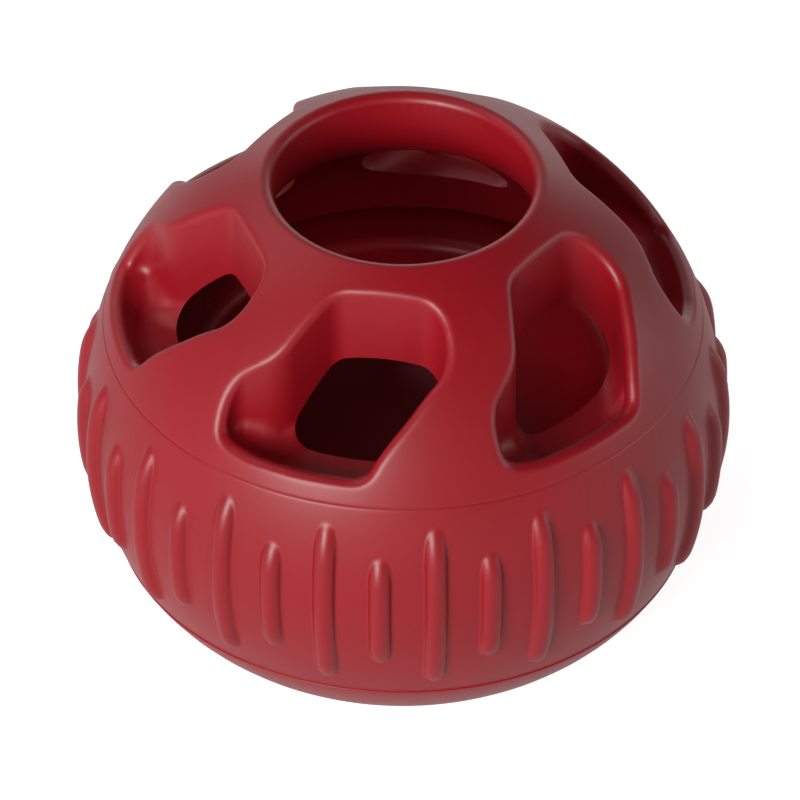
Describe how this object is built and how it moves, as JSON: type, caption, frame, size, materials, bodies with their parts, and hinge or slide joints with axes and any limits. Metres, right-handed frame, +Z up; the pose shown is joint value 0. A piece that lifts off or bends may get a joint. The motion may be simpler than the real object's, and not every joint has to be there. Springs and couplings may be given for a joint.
{
  "type": "fillable dog chew toy",
  "caption": "Hollow rubber chew ball in two shells: a domed upper shell with a round mouth and leaning side windows, closing into a ribbed cup with a flat base that holds a treat.",
  "frame": {"origin": "middle of the flat base that the toy stands on", "axes": "+Z up along the toy's axis through the mouth; -Y faces the middle of one window and of one long rib; +X to the right of that"},
  "size_m": [0.1008, 0.1008, 0.079],
  "materials": {
    "lower_rubber": "satin moulded rubber, deep red",
    "upper_rubber": "satin moulded rubber, deep red"
  },
  "bodies": {
    "lower_shell": {"lower_shell": "lower_rubber"},
    "upper_shell": {"upper_shell": "upper_rubber"}
  },
  "joints": [
    {"name": "lift", "type": "slide", "parent": "lower_shell", "child": "upper_shell", "axis": [0, 0, 1], "range_m": [0, 0.06]}
  ]
}
